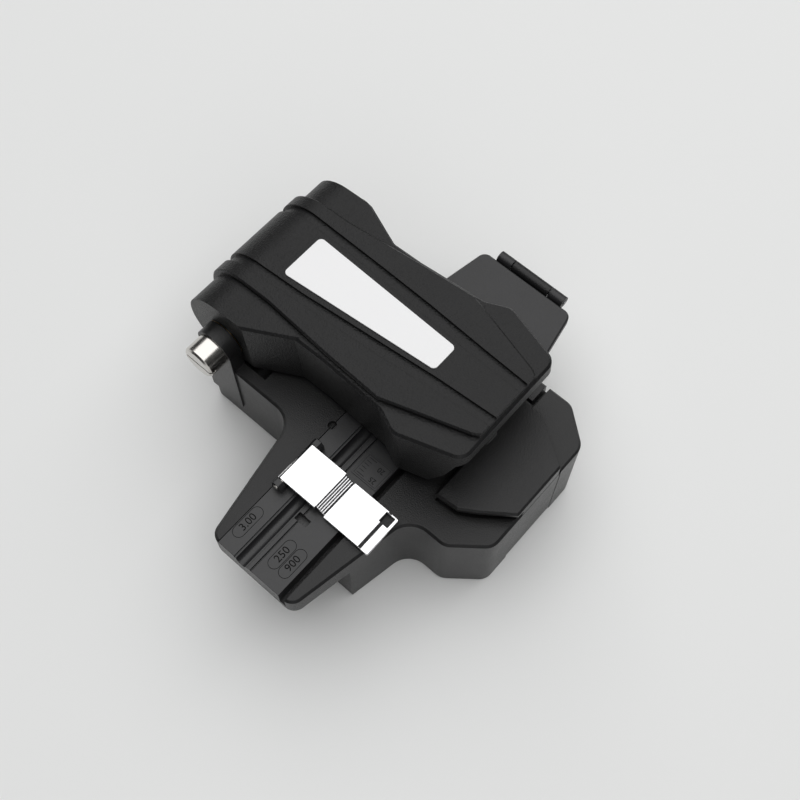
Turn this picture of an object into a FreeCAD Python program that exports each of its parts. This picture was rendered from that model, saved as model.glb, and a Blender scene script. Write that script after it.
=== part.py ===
import FreeCAD, Part
import os
import Sketcher

# Fibre cleaver.  +X runs along the fibre, from the holder arm to the scrap bin;
# +Y runs from the user's side to the lever hinge; +Z is up.  Pieces are drawn
# about the fibre line and the lever's centre plane, those of the lever about the
# hinge axis; each body is then placed so that the origin of the whole lies on
# the table under the middle of its length and width.

SIZES = (
    # base housing
    ("foot_height", 0.8, "rubber feet below the bottom plate"),
    ("plate_thickness", 2.0, "bottom plate"),
    ("deck_height", 26.5, "housing top and fibre holder top above the table"),
    ("wall", 2.2, "moulded wall"),
    ("left_side", 26.9, "outer face of the left wall"),
    ("right_side", 20.7, "outer face of the right wall"),
    ("front_side", 38.0, "outer face of the front wall"),
    ("rear_side", 49.5, "outer face of the rear wall"),
    ("corner_cut_x", 7.2, "slanted front corners, along the front"),
    ("corner_cut_y", 8.8, "slanted front corners, along the side"),
    ("corner_round", 2.5, "rounding of the housing corners"),
    ("front_round", 4.0, "rounding of the slanted corners at the front"),
    ("deck_chamfer", 0.6, "broken edge round the deck"),
    ("front_relief_left", 12.0, "raised stretch of the front wall's lower edge"),
    ("front_relief_right", 8.5, "its right end"),
    ("relief_height", 1.6, "how far that edge is raised"),
    # holder arm
    ("arm_reach", 60.2, "end of the arm from the lever's centre plane"),
    ("arm_foot", 44.4, "end of the full height under the arm"),
    ("arm_thickness", 6.5, "overhanging tray of the arm"),
    ("arm_end_half", 12.8, "half width of the arm at its end"),
    ("arm_root_half", 19.0, "half width of the arm at the left wall"),
    ("arm_round", 3.2, "rounding of the arm's end"),
    ("arm_blend", 6.0, "hollow rounding where the arm meets the housing"),
    # fibre holder
    ("holder_front", 8.7, "front edge of the holder insert"),
    ("holder_rear", 10.4, "rear edge of the holder insert"),
    ("holder_depth", 4.6, "thickness of the holder insert"),
    ("slot_width", 1.9, "open channel in front of the holder insert"),
    ("cable_groove", 4.1, "mouth of the groove for 3 mm cable"),
    ("cable_seat", 3.0, "rounded seat of that groove"),
    ("cable_ledge", 0.5, "depth of the ledge beside the seat"),
    ("cable_sink", 0.8, "centre of the rounded seat below the deck"),
    ("cable_line", 3.2, "centre of that groove behind the fibre line"),
    ("fibre_groove", 0.45, "mouth of the groove for coated fibre"),
    ("fibre_depth", 0.4, "depth of that groove"),
    ("holder_seam", 0.15, "gap behind the holder insert"),
    ("pocket_width", 2.0, "gripping pockets at the groove, along the fibre"),
    ("pocket_depth", 2.4, "depth of the rear pocket"),
    ("pocket_shallow", 2.0, "depth of the front pocket"),
    ("pocket_line", 43.5, "their place along the fibre"),
    ("pocket_seam", 0.7, "where the two pockets meet, before the fibre line"),
    # sheet clamp
    ("clamp_sheet", 1.0, "thickness of the sheet clamp"),
    ("clamp_outer", 40.3, "outer side of the sheet clamp"),
    ("clamp_inner", 29.3, "inner side of the sheet clamp"),
    ("clamp_rise", 3.5, "top of the rear leaf above the deck"),
    ("clamp_step", 1.7, "step down from rear leaf to front leaf"),
    ("clamp_rear_leaf", 1.5, "front end of the rear leaf"),
    ("clamp_front_leaf", 4.2, "rear end of the front leaf"),
    ("clamp_bend", 15.0, "where the front leaf turns down"),
    ("clamp_lip", 17.6, "front edge of the finger lip"),
    ("clamp_pin_y", 8.9, "clamp hinge pin behind the fibre line"),
    ("clamp_pin_rise", 2.0, "clamp hinge pin above the deck"),
    ("clamp_pin_radius", 0.7, "clamp hinge pin"),
    ("clamp_eye_radius", 1.5, "rolled eye of the clamp"),
    ("clamp_lug", 1.6, "hinge lugs beside the clamp"),
    # blade cover and corner cover
    ("cover_rise", 4.5, "top of the blade cover above the deck"),
    ("cover_rear", 20.3, "rear edge of the blade cover"),
    ("cover_left", 19.9, "left edge of the blade cover"),
    ("cover_front_left", 11.3, "where the left edge meets the front"),
    ("cover_right", 12.0, "right edge of the blade cover"),
    ("cover_front_right", 4.2, "where the right edge meets the front"),
    ("cover_knee", 11.2, "slanted stretch behind the front wall"),
    ("panel_rear", 22.4, "rear edge of the corner cover"),
    ("cover_neck", 2.2, "overhang of its left edge"),
    ("cover_groove", 2.5, "groove in the deck below that edge"),
    ("seam", 0.3, "gap between neighbouring covers"),
    # lever hinge
    ("hinge_y", 43.2, "hinge axis behind the fibre line"),
    ("hinge_rise", 6.5, "hinge axis above the deck"),
    ("ear_radius", 5.4, "left hinge ear"),
    ("ear_step", 0.45, "how far the left ear stands proud"),
    ("ear_foot", 7.0, "lower end of the left ear above the table"),
    ("right_ear_radius", 5.0, "right hinge ear"),
    ("right_ear_thickness", 2.5, "right hinge ear"),
    ("axle_radius", 2.5, "hinge axle"),
    ("axle_head_radius", 4.5, "head of the hinge axle"),
    ("axle_head", 5.5, "how far the head stands out"),
    ("side_play", 0.3, "lever to ear, each side"),
    ("running_fit", 0.05, "radial clearance of turning fits"),
    ("bush_radius", 3.6, "flanged bush in the lever"),
    ("bush_length", 6.0, "flanged bush in the lever"),
    # lever
    ("rest_tilt", 4.5, "lever slope at rest, degrees"),
    ("barrel_radius", 12.0, "hinge barrel"),
    ("barrel_half", 23.15, "left end of the barrel and of its wing"),
    ("barrel_right", 22.0, "right end of the barrel and of its wing"),
    ("rear_wing", 8.0, "rear wings, forward of the hinge"),
    ("waist_start", 19.5, "start of the waist"),
    ("waist_half", 17.2, "half width at the waist"),
    ("waist_middle", 28.0, "where the waist starts to widen"),
    ("hip_half", 18.3, "half width before the front wings"),
    ("hip", 46.5, "start of the front wings"),
    ("front_wing_half", 20.9, "half width of the front wings"),
    ("wing_flare", 5.8, "from there to the widest point of the front wings"),
    ("nose_half", 16.0, "half width of the nose"),
    ("nose_round", 3.5, "rounding of its corners"),
    ("wing_round", 4.0, "rounding of the front wings"),
    ("hip_round", 3.0, "hollow rounding behind the front wings"),
    ("lever_reach", 68.6, "front edge of the lever from the hinge"),
    ("lever_skirt", 5.9, "side walls below the hinge axis"),
    ("nose_skirt", 60.0, "where the side walls end"),
    ("nose_lip", 3.6, "depth of the lip at the nose"),
    ("lever_top", 2.2, "top of the lever shell"),
    ("lever_wall", 2.0, "side walls of the lever shell"),
    ("cavity_rear", 14.5, "rear end of the lever's hollow"),
    ("cavity_front", 60.5, "front end of the lever's hollow"),
    ("panel_rise", 1.5, "raised panel above the wings"),
    ("panel_rear_half", 14.3, "half width of the raised panel at the hinge"),
    ("panel_wide_half", 17.0, "greatest half width of the raised panel"),
    ("panel_wide", 44.5, "where it is widest"),
    ("panel_nose_half", 9.6, "half width of the raised panel at the nose"),
    ("panel_reach", 67.9, "front edge of the raised panel"),
    ("flute_depth", 0.8, "two long flutes in the raised panel"),
    ("flute_rear", 8.0, "inner edge of a flute at the hinge"),
    ("flute_nose", 4.0, "inner edge of a flute at the nose"),
    ("flute_width", 2.6, "width of a flute"),
    ("label_rear", 5.8, "rear edge of the label plate"),
    ("label_front", 50.0, "front edge of the label plate"),
    ("label_rear_half", 6.5, "half width at the rear edge"),
    ("label_front_half", 3.7, "half width at the front edge"),
    ("label_thickness", 0.3, "label plate"),
    ("label_round", 1.2, "rounding of its corners"),
    # clamps and anvil
    ("pad_drop", 0.3, "top of the lower rubber pads below the deck"),
    ("pad_thickness", 0.9, "rubber pads"),
    ("pad_gap", 0.3, "upper to lower pads with the lever down"),
    ("block_half", 7.0, "half length of the clamp blocks across the fibre"),
    ("pad_inset", 0.9, "from a clamp block's inner face to its rubber pad"),
    ("pad_far_edge", 8.6, "from the same face to the pad's far edge"),
    ("block_inner", 1.7, "inner face of the clamp blocks"),
    ("lower_block_outer", 14.8, "outer face of the lower clamp blocks"),
    ("block_depth", 5.0, "underside of the lower clamp blocks below the deck"),
    ("upper_block_outer", 11.0, "outer face of the upper clamp blocks"),
    ("chassis_thickness", 2.0, "steel chassis in the lever"),
    ("chassis_half", 12.5, "half width of the chassis"),
    ("chassis_rear", 17.5, "rear end of the chassis"),
    ("chassis_front", 56.0, "front end of the chassis"),
    ("anvil_half", 1.2, "half thickness of the breaking anvil"),
    ("anvil_half_length", 3.0, "half length of the anvil across the fibre"),
    # blade and carriage
    ("channel_half", 9.0, "half width of the carriage channel"),
    ("channel_front", 31.5, "front end of the channel"),
    ("channel_rear", 27.0, "rear end of the channel"),
    ("blade_radius", 8.0, "round blade"),
    ("blade_thickness", 1.2, "round blade"),
    ("blade_bore", 2.0, "bore of the round blade"),
    ("blade_y", 12.0, "blade axle behind the fibre line"),
    ("carriage_half", 7.4, "half width of the carriage"),
    ("carriage_half_length", 12.0, "half length of the carriage"),
    ("carriage_drop", 13.5, "top of the carriage below the deck"),
    ("carriage_foot", 4.6, "underside of the carriage above the table"),
    ("fork_thickness", 2.2, "upright that carries the blade"),
    ("fork_half", 5.5, "half length of that upright"),
    ("fork_drop", 5.7, "top of that upright below the deck"),
    ("rail_half", 3.0, "half width of the guide rail"),
    ("rail_height", 3.6, "guide rail"),
    ("rail_fit", 0.08, "carriage to rail"),
    # scrap bin
    ("bin_gap", 0.3, "bin to housing"),
    ("lid_edge", 40.2, "outer edge of the lid"),
    ("lid_inner_half", 17.4, "half width of the lid at the housing"),
    ("lid_outer_half", 14.0, "half width of the lid at its outer edge"),
    ("lid_thickness", 2.2, "lid"),
    ("lid_rise", 0.1, "top of the lid above the deck"),
    ("lid_round", 2.3, "rounding of the lid's outer corners"),
    ("lid_overhang", 0.8, "lid beyond the bin's rim"),
    ("bin_wall", 1.5, "wall of the bin"),
    ("bin_foot", 3.5, "underside of the bin above the table"),
    ("bin_taper", 6.0, "how much each bin wall leans in"),
    ("lid_hinge_x", 42.1, "lid hinge axis"),
    ("lid_hinge_drop", 1.0, "lid hinge axis below the top of the lid"),
    ("knuckle_radius", 1.6, "lid hinge knuckles"),
    ("knuckle_inner", 5.8, "half length of the middle knuckle"),
    ("knuckle_outer", 10.4, "outer end of the outer knuckles"),
    ("knuckle_gap", 0.3, "gap between knuckles"),
    ("lid_pin_radius", 0.6, "lid hinge pin"),
    ("tongue_left", 15.0, "left end of the bin's snap tongue"),
    ("tongue_front", 21.6, "front edge of the tongue"),
    ("tongue_rear", 17.8, "rear edge of the tongue"),
    ("tongue_gap", 0.8, "slot round the tongue"),
    # fasteners and feet
    ("screw_radius", 1.25, "shank of the small screws"),
    ("screw_head_radius", 2.2, "head of the small screws"),
    ("screw_head", 1.2, "height of that head"),
    ("foot_radius", 4.0, "rubber foot"),
)

doc = FreeCAD.newDocument("fibre_cleaver")
sheet = doc.addObject("Spreadsheet::Sheet", "Sizes")


class Length:
    """A size with its value and the expression that gives it in the document."""

    def __init__(self, value, text):
        self.value = value
        self.text = text

    @staticmethod
    def of(other):
        if isinstance(other, Length):
            return other
        return Length(float(other), repr(float(other)))

    def __add__(self, other):
        other = Length.of(other)
        return Length(self.value + other.value, "(%s + %s)" % (self.text, other.text))

    def __sub__(self, other):
        other = Length.of(other)
        return Length(self.value - other.value, "(%s - %s)" % (self.text, other.text))

    def __mul__(self, other):
        other = Length.of(other)
        return Length(self.value * other.value, "(%s * %s)" % (self.text, other.text))

    def __truediv__(self, other):
        other = Length.of(other)
        return Length(self.value / other.value, "(%s / %s)" % (self.text, other.text))

    def __neg__(self):
        return Length(-self.value, "(0 - %s)" % self.text)

    def __radd__(self, other):
        return Length.of(other) + self

    def __rsub__(self, other):
        return Length.of(other) - self

    def __rmul__(self, other):
        return Length.of(other) * self


class Sheet:
    """Reads a named cell as a Length."""

    def __init__(self, rows):
        self.rows = {}
        for number, (alias, value, meaning) in enumerate(rows, 1):
            sheet.set("A%d" % number, meaning)
            sheet.set("B%d" % number, str(value))
            sheet.setAlias("B%d" % number, alias)
            self.rows[alias] = Length(value, "Sizes." + alias)

    def __getattr__(self, alias):
        return self.rows[alias]


s = Sheet(SIZES)
doc.recompute()
ZERO = Length.of(0)
VECTOR = FreeCAD.Vector
PARTS = []


# Heights and outlines that several pieces share.
hinge_z = s.deck_height + s.hinge_rise
clamp_top = s.deck_height + s.clamp_rise
clamp_pin_z = s.deck_height + s.clamp_pin_rise
cover_top = s.deck_height + s.cover_rise
pad_top = s.deck_height - s.pad_drop
lower_block_foot = s.deck_height - s.block_depth
fork_top = s.deck_height - s.fork_drop
carriage_top = s.deck_height - s.carriage_drop
lid_top = s.deck_height + s.lid_rise
lid_hinge_z = lid_top - s.lid_hinge_drop
shell_foot = s.foot_height
floor = s.foot_height + s.plate_thickness
arm_slope = (s.arm_root_half - s.arm_end_half) / (s.arm_reach - s.left_side)
arm_foot_half = s.arm_end_half + arm_slope * (s.arm_reach - s.arm_foot)
frame_x = (s.arm_reach - s.lid_hinge_x - s.knuckle_radius) / 2
frame_y = (s.front_side - s.hinge_y - s.barrel_radius - s.panel_rise) / 2
panel_seam = [
    (s.cover_front_right, -s.front_side),
    (s.cover_right - 0.4, -(s.front_side - s.cover_knee)),
    (s.cover_right, -s.panel_rear),
]


def between(start, end, share):
    """The value that lies a share of the way from start to end."""
    return start + (end - start) * share


class Piece:
    """One sub-part: a PartDesign body with its sketches and features."""

    # sketch plane: its two axes, and the sign of its normal along the third
    PLANES = {"XY_Plane": 1, "XZ_Plane": -1, "YZ_Plane": 1}

    def __init__(self, label):
        self.body = doc.addObject("PartDesign::Body", label)
        self.body.Label = label
        self.count = 0
        self.place(frame_x, frame_y, ZERO, ZERO)
        PARTS.append(self.body)

    def place(self, x, y, z, tilt):
        """Puts the body in the frame of the whole, leaning back by a tilt."""
        self.body.Placement = FreeCAD.Placement(
            VECTOR(x.value, y.value, z.value), FreeCAD.Rotation(VECTOR(-1, 0, 0), tilt.value))
        self.body.setExpression("Placement.Base.x", x.text)
        self.body.setExpression("Placement.Base.y", y.text)
        if z is not ZERO:
            self.body.setExpression("Placement.Base.z", z.text)
            self.body.setExpression("Placement.Rotation.Angle", tilt.text)

    def name(self, kind):
        self.count += 1
        return "%s_%s_%d" % (self.body.Name, kind, self.count)

    def sketch(self, plane, level):
        """An empty sketch parallel to a plane of the body, at a level on its normal axis."""
        drawing = self.body.newObject("Sketcher::SketchObject", self.name("sketch"))
        for feature in self.body.Origin.OriginFeatures:
            if feature.Role == plane:
                drawing.AttachmentSupport = [(feature, "")]
        drawing.MapMode = "FlatFace"
        offset = Length.of(level) * self.PLANES[plane]
        drawing.AttachmentOffset = FreeCAD.Placement(VECTOR(0, 0, offset.value), FreeCAD.Rotation())
        drawing.setExpression("AttachmentOffset.Base.z", offset.text)
        return drawing

    @staticmethod
    def hold(drawing, kind, geometry, point, length):
        """Ties a point of the sketch to its origin, along one axis."""
        length = Length.of(length)
        number = drawing.addConstraint(
            Sketcher.Constraint(kind, -1, 1, geometry, point, length.value))
        drawing.setExpression("Constraints[%d]" % number, length.text)

    def outline(self, drawing, points):
        """A closed outline with straight sides."""
        places = [(Length.of(x), Length.of(y)) for x, y in points]
        first = drawing.GeometryCount
        total = len(places)
        for index, (x, y) in enumerate(places):
            next_x, next_y = places[(index + 1) % total]
            drawing.addGeometry(Part.LineSegment(VECTOR(x.value, y.value, 0),
                                                 VECTOR(next_x.value, next_y.value, 0)))
        for index, (x, y) in enumerate(places):
            here = first + index
            drawing.addConstraint(Sketcher.Constraint(
                "Coincident", here, 2, first + (index + 1) % total, 1))
            self.hold(drawing, "DistanceX", here, 1, x)
            self.hold(drawing, "DistanceY", here, 1, y)

    def circle(self, drawing, x, y, radius):
        """A circle; its centre and radius follow the sheet."""
        x, y, radius = Length.of(x), Length.of(y), Length.of(radius)
        here = drawing.GeometryCount
        drawing.addGeometry(Part.Circle(VECTOR(x.value, y.value, 0), VECTOR(0, 0, 1), radius.value))
        number = drawing.addConstraint(Sketcher.Constraint("Radius", here, radius.value))
        drawing.setExpression("Constraints[%d]" % number, radius.text)
        self.hold(drawing, "DistanceX", here, 3, x)
        self.hold(drawing, "DistanceY", here, 3, y)

    def draw(self, drawing, shapes):
        for shape in shapes:
            if shape[0] == "circle":
                self.circle(drawing, *shape[1:])
            else:
                self.outline(drawing, shape)

    def extrude(self, kind, plane, low, high, shapes):
        """A pad or a pocket between two levels on the plane's normal axis."""
        low, high = Length.of(low), Length.of(high)
        start = low if self.PLANES[plane] > 0 else high
        drawing = self.sketch(plane, start)
        self.draw(drawing, shapes)
        feature = self.body.newObject("PartDesign::" + kind, self.name(kind.lower()))
        feature.Profile = drawing
        feature.Length = (high - low).value
        feature.setExpression("Length", (high - low).text)
        feature.Reversed = kind == "Pocket"
        return feature

    def pad(self, plane, low, high, *shapes):
        return self.extrude("Pad", plane, low, high, shapes)

    def pocket(self, plane, low, high, *shapes):
        before = self.volume()
        feature = self.extrude("Pocket", plane, low, high, shapes)
        if not self.volume() < before:
            raise RuntimeError("%s cuts nothing" % feature.Name)
        return feature

    def volume(self):
        doc.recompute()
        return self.body.Shape.Volume

    def edges(self, test):
        """Names of the edges for which test(edge) is true."""
        shape = self.body.Tip.Shape
        return ["Edge%d" % number for number, edge in enumerate(shape.Edges, 1) if test(edge)]

    def soften(self, kind, size, test):
        """A fillet or a chamfer on the edges that pass the test."""
        doc.recompute()
        names = self.edges(test)
        if not names:
            raise RuntimeError("%s has no edge for a %s" % (self.body.Name, kind))
        last = self.body.Tip
        feature = self.body.newObject("PartDesign::" + kind, self.name(kind.lower()))
        feature.Base = (last, names)
        property_name = "Radius" if kind == "Fillet" else "Size"
        size = Length.of(size)
        setattr(feature, property_name, size.value)
        feature.setExpression(property_name, size.text)
        doc.recompute()
        if feature.Shape.isNull() or not feature.Shape.isValid():
            raise RuntimeError("%s failed" % feature.Name)
        return feature

    def faces(self, test):
        shape = self.body.Tip.Shape
        return ["Face%d" % number for number, face in enumerate(shape.Faces, 1) if test(face)]

    def draft(self, angle, neutral, test):
        """Leans the faces that pass the test inwards, away from the neutral face."""
        doc.recompute()
        last = self.body.Tip
        level, sides = self.faces(neutral), self.faces(test)
        feature = self.body.newObject("PartDesign::Draft", self.name("draft"))
        feature.Base = (last, sides)
        feature.NeutralPlane = (last, level)
        feature.Angle = angle.value
        feature.setExpression("Angle", angle.text)
        feature.Reversed = True
        doc.recompute()
        return feature

    def hollow(self, thickness, test):
        """Leaves a wall behind every face but the ones that pass the test."""
        doc.recompute()
        last = self.body.Tip
        before = self.volume()
        names = self.faces(test)
        feature = self.body.newObject("PartDesign::Thickness", self.name("thickness"))
        feature.Base = (last, names)
        feature.Value = thickness.value
        feature.setExpression("Value", thickness.text)
        feature.Reversed = True
        if not self.volume() < before:
            raise RuntimeError("%s hollows nothing" % feature.Name)
        return feature

    def on_lever(self):
        """Places the piece with the lever, at its slope at rest."""
        self.place(frame_x, s.hinge_y + frame_y, hinge_z, s.rest_tilt)
        return self


def near(a, b):
    return abs(a - b) < 0.02


def upright_at(*corners):
    """Test for vertical edges that stand on one of the given points."""
    spots = [(Length.of(x).value, Length.of(y).value) for x, y in corners]

    def test(edge):
        ends = [vertex.Point for vertex in edge.Vertexes]
        if len(ends) != 2 or not near(ends[0].x, ends[1].x) or not near(ends[0].y, ends[1].y):
            return False
        return any(near(ends[0].x, x) and near(ends[0].y, y) for x, y in spots)

    return test


def level_at(height):
    """Test for edges that lie whole at one height."""
    level = Length.of(height).value
    return lambda edge: near(edge.BoundBox.ZMin, level) and near(edge.BoundBox.ZMax, level)


def mirrored(points):
    """The outline of right-hand points, closed with their mirror images."""
    return list(points) + [(-Length.of(x), y) for x, y in reversed(points)]


def box_outline(left, right, front, rear):
    return [(left, front), (right, front), (right, rear), (left, rear)]


# ---------------------------------------------------------------- base housing
def foot_plan(inset):
    """The housing's plan without the arm, drawn in from its faces by an inset."""
    front, rear = s.front_side - inset, s.rear_side - inset
    left, right = s.left_side - inset, s.right_side - inset
    cut_x, cut_y = s.corner_cut_x - inset * 0.45, s.corner_cut_y - inset * 0.5
    return [
        (-(left - cut_x), -front), (right - cut_x, -front), (right, -(front - cut_y)),
        (right, rear), (-left, rear), (-left, -(front - cut_y)),
    ]


base = Piece("base_body")
base.pad("XY_Plane", shell_foot, s.deck_height, foot_plan(ZERO))
base.pad("XY_Plane", shell_foot, s.deck_height, [
    (-s.left_side + 1, -s.arm_root_half), (-s.left_side + 1, s.arm_root_half),
    (-s.left_side, s.arm_root_half), (-s.arm_foot, arm_foot_half),
    (-s.arm_foot, -arm_foot_half), (-s.left_side, -s.arm_root_half),
])
base.pad("XY_Plane", s.deck_height - s.arm_thickness, s.deck_height, [
    (-s.arm_foot + 1, -arm_foot_half), (-s.arm_foot + 1, arm_foot_half),
    (-s.arm_foot, arm_foot_half), (-s.arm_reach, s.arm_end_half),
    (-s.arm_reach, -s.arm_end_half), (-s.arm_foot, -arm_foot_half),
])
base.soften("Fillet", s.arm_blend, upright_at(
    (-s.left_side, s.arm_root_half), (-s.left_side, -s.arm_root_half)))
base.soften("Fillet", s.arm_round, upright_at(
    (-s.arm_reach, s.arm_end_half), (-s.arm_reach, -s.arm_end_half)))
base.soften("Fillet", s.corner_round, upright_at(
    (-s.left_side, s.rear_side), (s.right_side, s.rear_side)))
base.soften("Fillet", s.front_round, upright_at(
    (-(s.left_side - s.corner_cut_x), -s.front_side),
    (-s.left_side, -(s.front_side - s.corner_cut_y))))
base.soften("Chamfer", s.deck_chamfer, level_at(s.deck_height))
# hinge ears: the left one runs down the wall, the right one stands on a short foot
inner_ear = s.barrel_half + s.side_play
right_ear = s.barrel_right + s.side_play
right_ear_end = right_ear + s.right_ear_thickness
left_ear = s.left_side + s.ear_step
base.pad("YZ_Plane", -left_ear, -inner_ear, ("circle", s.hinge_y, hinge_z, s.ear_radius))
base.pad("YZ_Plane", -left_ear, -inner_ear, box_outline(
    s.hinge_y - s.ear_radius, s.hinge_y + s.ear_radius, s.ear_foot, hinge_z))
base.pad("YZ_Plane", s.right_side - 1, right_ear_end, [
    (s.hinge_y - s.right_ear_radius, shell_foot), (s.hinge_y + s.right_ear_radius, shell_foot),
    (s.hinge_y + s.right_ear_radius, hinge_z - 8), (s.hinge_y - s.right_ear_radius, hinge_z - 8),
])
base.pad("YZ_Plane", right_ear, right_ear_end, box_outline(
    s.hinge_y - s.right_ear_radius, s.hinge_y + s.right_ear_radius, hinge_z - 9, hinge_z))
base.pad("YZ_Plane", right_ear, right_ear_end,
         ("circle", s.hinge_y, hinge_z, s.right_ear_radius))
# hollow for the lever's barrel
scoop_radius = s.barrel_radius + s.panel_rise + 0.45
base.pocket("YZ_Plane", -inner_ear, right_ear, ("circle", s.hinge_y, hinge_z, scoop_radius))
base.pocket("YZ_Plane", -left_ear, right_ear_end,
            ("circle", s.hinge_y, hinge_z, s.axle_radius + s.running_fit))
# round notch at the rear edge of the insert, shared with it
insert_notch = ("circle", -21.5, s.holder_rear, 1.1)
base.pocket("XY_Plane", s.deck_height - 1.5, s.deck_height + 1, insert_notch)
# groove in the deck below the overhanging edge of the blade cover
base.pocket("XY_Plane", s.deck_height - s.cover_groove, s.deck_height + 1, [
    (-s.cover_left + 0.3, -s.cover_rear), (-s.cover_left + 0.8, -26.4), (-16.8, -30.1),
    (-s.cover_front_left + 0.3, -s.front_side + 0.7),
    (-s.cover_front_left + s.cover_neck, -s.front_side + 0.7), (-17.1 + s.cover_neck, -29.9),
    (-s.cover_left + 0.5 + s.cover_neck, -26.3), (-s.cover_left + s.cover_neck, -s.cover_rear),
])
# bed of the fibre holder with the open channel in front of it
bed = s.deck_height - s.holder_depth
clamp_bed_half = s.lower_block_outer + 0.1
base.pocket("XY_Plane", bed, s.deck_height + 1, box_outline(
    -s.arm_reach - 1, -s.lower_block_outer, -s.holder_front - s.slot_width, s.holder_rear))
base.pocket("XY_Plane", lower_block_foot, s.deck_height + 1, box_outline(
    -clamp_bed_half, clamp_bed_half, -s.block_half - 0.1, s.block_half + 0.1))
# blade channel, open at the bottom until the bottom plate closes it
base.pocket("XY_Plane", shell_foot - 1, s.deck_height + 1, box_outline(
    -s.channel_half, s.channel_half, -s.channel_front, s.channel_rear))
# bed of the bottom plate, and hollows under the deck
base.pocket("XY_Plane", shell_foot - 1, floor, foot_plan(s.wall))
ceiling = bed - 2.4
cavity_left = s.left_side - s.wall - 0.6
base.pocket("XY_Plane", floor - 1, ceiling, box_outline(
    -cavity_left, -s.channel_half - 7.5, -26, 27))
base.pocket("XY_Plane", floor - 1, hinge_z - scoop_radius - s.wall, box_outline(
    -cavity_left, s.right_side - s.wall - 0.6, s.channel_rear + 4, s.rear_side - s.wall - 0.6))
base.pocket("XY_Plane", shell_foot - 1, ceiling, [
    (-s.arm_foot + s.wall, -arm_foot_half + 3.2), (-s.left_side - 0.4, -s.arm_root_half + 3.2),
    (-s.left_side - 0.4, s.arm_root_half - 3.2), (-s.arm_foot + s.wall, arm_foot_half - 3.2),
])
# raised stretches of the lower edge at the front and at the left rear
base.pocket("XZ_Plane", -s.front_side - 1, -s.front_side + s.wall, box_outline(
    -s.front_relief_left, s.front_relief_right, 0, shell_foot + s.relief_height))
# room for the corner cover: a ledge under its top and a step behind its walls
cover_room = s.wall + s.seam
base.pocket("XY_Plane", s.deck_height - cover_room, s.deck_height + 1, [
    (s.cover_front_right, -s.front_side - 1), (s.right_side + 1, -s.front_side - 1),
    (s.right_side + 1, -s.panel_rear), (s.cover_right, -s.panel_rear), panel_seam[1],
])
base.pocket("XY_Plane", shell_foot - 1, s.deck_height, [
    (5.0, -s.front_side - 1), (s.right_side + 1, -s.front_side - 1),
    (s.right_side + 1, -s.panel_rear), (s.right_side - cover_room, -s.panel_rear),
    (s.right_side - cover_room, -(s.front_side - s.corner_cut_y) + 0.7),
    (s.right_side - s.corner_cut_x - 0.9, -s.front_side + cover_room),
    (5.0, -s.front_side + cover_room),
])
# spring tongue in the deck, set free by a slot on two sides
base.pocket("XY_Plane", s.deck_height - 3.7, s.deck_height + 1, [
    (s.tongue_left - s.tongue_gap, -s.panel_rear - 0.5), (s.right_side + 1, -s.panel_rear - 0.5),
    (s.right_side + 1, -s.tongue_front), (s.tongue_left, -s.tongue_front),
    (s.tongue_left, -s.tongue_rear), (s.tongue_left - s.tongue_gap, -s.tongue_rear),
])
# sockets for the pegs of the bin, threaded holes for screws
peg_y = 9.0
peg_z = 14.0
peg_radius = 1.6
peg_length = 3.2
base.pocket("YZ_Plane", s.right_side - peg_length, s.right_side + 1,
            ("circle", -peg_y, peg_z, peg_radius + 0.1), ("circle", peg_y, peg_z, peg_radius + 0.1))
clamp_screws = [(-12.6, 0), (12.6, 0)]
base.pocket("XY_Plane", lower_block_foot - 6, lower_block_foot + 1,
            *[("circle", x, y, 0.9) for x, y in clamp_screws])
holder_screws = [(-52.0, -4.5), (-21.0, -4.5)]
tray_foot = s.deck_height - s.arm_thickness
base.pocket("XY_Plane", ceiling - 1, bed + 1,
            *[("circle", x, y, s.screw_radius + 0.2) for x, y in holder_screws])
base.pocket("XY_Plane", tray_foot - 1, tray_foot + s.screw_head,
            ("circle", *holder_screws[0], s.screw_head_radius + 0.3))
plate_screws = [(-16.0, -32.0), (-19.0, 29.2), (15.0, -15.0), (15.0, 29.2)]
base.pocket("XY_Plane", floor - 1, floor + 7, *[("circle", x, y, 1.1) for x, y in plate_screws])

# ------------------------------------------------- bottom plate, screws and feet
plate = Piece("bottom_plate")
plate.pad("XY_Plane", shell_foot, floor, foot_plan(s.wall + 0.15))
plate.pocket("XY_Plane", shell_foot - 1, floor + 1,
             *[("circle", x, y, s.screw_radius + 0.15) for x, y in plate_screws])
plate.pocket("XY_Plane", shell_foot - 1, shell_foot + s.screw_head,
             *[("circle", x, y, s.screw_head_radius + 0.2) for x, y in plate_screws])
feet = [(-19.0, -23.0), (11.0, -29.5), (-18.5, 41.5), (12.5, 41.5)]

plate_screw = Piece("bottom_screws")
plate_screw.pad("XY_Plane", shell_foot + 0.1, shell_foot + s.screw_head,
                *[("circle", x, y, s.screw_head_radius) for x, y in plate_screws])
plate_screw.pad("XY_Plane", shell_foot + s.screw_head, floor + 6,
                *[("circle", x, y, 1.05) for x, y in plate_screws])

foot = Piece("rubber_feet")
foot.pad("XY_Plane", 0, shell_foot, *[("circle", x, y, s.foot_radius) for x, y in feet])
foot.soften("Chamfer", 0.3, level_at(0))

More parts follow.
